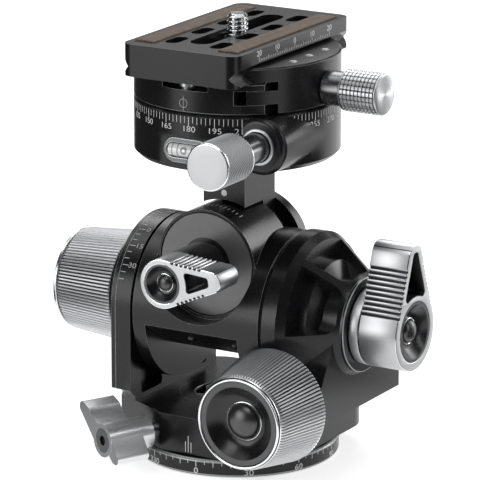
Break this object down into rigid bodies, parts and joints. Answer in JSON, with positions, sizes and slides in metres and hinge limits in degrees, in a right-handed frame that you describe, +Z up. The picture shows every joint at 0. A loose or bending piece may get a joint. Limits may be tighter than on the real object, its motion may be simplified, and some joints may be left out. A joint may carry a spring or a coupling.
{
  "type": "geared camera tripod head",
  "caption": "Low-profile geared head with a panning base, worm-driven tilt and roll axes with lock levers, and a panning quick-release clamp that holds a dovetail camera plate.",
  "frame": {"origin": "centre of the panning base's underside, at the mouth of the tripod socket", "axes": "+Z up along both pan axes, +X to the right along the tilt axis, -Y toward the operator, along the roll axis"},
  "size_m": [0.114, 0.0855, 0.1309],
  "materials": {
    "black_anodised": "satin black anodised aluminium",
    "dark_anodised": "smooth dark anodised aluminium",
    "silver_anodised": "satin, finely ribbed or knurled",
    "gloss_black": "glossy black",
    "steel": "polished steel",
    "bronze": "turned bronze",
    "vial_white": "pale bezel",
    "vial_liquid": "clear vial",
    "rubber": "brown textured rubber"
  },
  "bodies": {
    "base": {"base_disc": "black_anodised", "tripod_bush": "steel", "pan_spindle": "steel", "spindle_screws": "steel"},
    "yoke": {"yoke_frame": "black_anodised", "left_cover": "dark_anodised", "cover_screws": "steel", "gear_housing": "black_anodised", "tilt_bushes": "bronze", "worm_bushes": "bronze", "pan_lock_shoe": "bronze", "level_cup": "black_anodised", "level_vial": "vial_liquid", "lever_collar": "black_anodised", "left_collar": "black_anodised"},
    "pan_lock": {"pan_lock_wing": "silver_anodised", "pan_lock_stud": "steel", "pan_lock_cap": "dark_anodised"},
    "tilt_drive": {"front_knob": "silver_anodised", "front_knob_cap": "gloss_black", "tilt_worm": "steel"},
    "tilt_lock": {"tilt_lever": "silver_anodised", "tilt_lever_cap": "gloss_black", "tilt_lock_stud": "steel"},
    "tilt_head": {"drum": "black_anodised", "tilt_shaft": "steel", "tilt_wheel": "bronze", "drum_screws": "steel", "roll_bushes": "bronze", "front_ring": "dark_anodised", "rear_cap": "dark_anodised"},
    "roll_drive": {"left_knob": "silver_anodised", "left_knob_cap": "gloss_black", "roll_worm": "steel"},
    "roll_lock": {"roll_lever": "silver_anodised", "roll_lever_cap": "gloss_black", "roll_lock_stud": "steel"},
    "roll_head": {"post": "black_anodised", "roll_shaft": "steel", "roll_wheel": "bronze", "pan_disc": "black_anodised", "post_screws": "steel", "vial_frame": "vial_white", "disc_vial": "vial_liquid", "lock_cotter": "bronze"},
    "disc_lock": {"disc_lock_knob": "silver_anodised", "disc_lock_screw": "steel"},
    "clamp": {"clamp_body": "black_anodised", "clamp_axle": "steel", "clamp_guides": "steel"},
    "pin": {"stop_pin": "steel"},
    "jaw": {"movable_jaw": "black_anodised", "jaw_screws": "steel"},
    "clamp_drive": {"clamp_knob": "silver_anodised", "clamp_collar": "dark_anodised", "clamp_screw": "steel"},
    "quick_plate": {"plate": "dark_anodised", "rubber_strips": "rubber"},
    "washer": {"camera_washer": "steel"},
    "camera_bolt": {"camera_screw": "steel"}
  },
  "joints": [
    {"name": "base_pan", "type": "hinge", "parent": "base", "child": "yoke", "pos_m": [0, 0, 0.008], "axis": [0, 0, 1], "continuous": true},
    {"name": "pan_lock_turn", "type": "hinge", "parent": "yoke", "child": "pan_lock", "pos_m": [0, 0, 0.01], "axis": [-0.4384, -0.8988, 0], "range_deg": [-100, 40]},
    {"name": "tilt", "type": "hinge", "parent": "yoke", "child": "tilt_head", "pos_m": [0, 0, 0.044], "axis": [1, 0, 0], "range_deg": [-72, 20]},
    {"name": "tilt_knob_turn", "type": "hinge", "parent": "yoke", "child": "tilt_drive", "pos_m": [0.029, 0, 0.025], "axis": [0, 1, 0], "range_deg": [-620, 2180]},
    {"name": "tilt_lock_turn", "type": "hinge", "parent": "yoke", "child": "tilt_lock", "pos_m": [0.042, 0, 0.044], "axis": [1, 0, 0], "range_deg": [-60, 30]},
    {"name": "roll", "type": "hinge", "parent": "tilt_head", "child": "roll_head", "pos_m": [0, 0, 0.06], "axis": [0, 1, 0], "range_deg": [-30, 30]},
    {"name": "roll_knob_turn", "type": "hinge", "parent": "tilt_head", "child": "roll_drive", "pos_m": [0, 0, 0.044], "axis": [1, 0, 0], "range_deg": [-730, 730]},
    {"name": "roll_lock_turn", "type": "hinge", "parent": "tilt_head", "child": "roll_lock", "pos_m": [0, -0.032, 0.06], "axis": [0, 1, 0], "range_deg": [-60, 40]},
    {"name": "disc_lock_turn", "type": "hinge", "parent": "roll_head", "child": "disc_lock", "pos_m": [0.0215, -0.03, 0.0991], "axis": [0, 1, 0], "range_deg": [-360, 360]},
    {"name": "clamp_pan", "type": "hinge", "parent": "roll_head", "child": "clamp", "pos_m": [0, 0, 0.1], "axis": [0, 0, 1], "continuous": true},
    {"name": "stop_pin_press", "type": "slide", "parent": "clamp", "child": "pin", "axis": [0, 0, -1], "range_m": [0, 0.002], "stiffness_N_per_m": 300, "springref_m": -0.003},
    {"name": "jaw_slide", "type": "slide", "parent": "clamp", "child": "jaw", "axis": [1, 0, 0], "range_m": [0, 0.0024]},
    {"name": "clamp_knob_turn", "type": "hinge", "parent": "jaw", "child": "clamp_drive", "pos_m": [0.03, 0, 0.1124], "axis": [1, 0, 0], "range_deg": [0, 1085]},
    {"name": "plate_slide", "type": "slide", "parent": "clamp", "child": "quick_plate", "axis": [0, 1, 0], "range_m": [-0.02, 0.02]},
    {"name": "washer_slide", "type": "slide", "parent": "quick_plate", "child": "washer", "axis": [0, 1, 0], "range_m": [-0.019, 0.019]},
    {"name": "camera_bolt_turn", "type": "hinge", "parent": "washer", "child": "camera_bolt", "pos_m": [0, 0, 0.12], "axis": [0, 0, 1], "continuous": true}
  ],
  "couplings": [
    {"joint": "tilt_knob_turn", "follows": "tilt", "ratio": -30},
    {"joint": "roll_knob_turn", "follows": "roll", "ratio": 24},
    {"joint": "clamp_knob_turn", "follows": "jaw_slide", "rad_per_m": 7854}
  ]
}
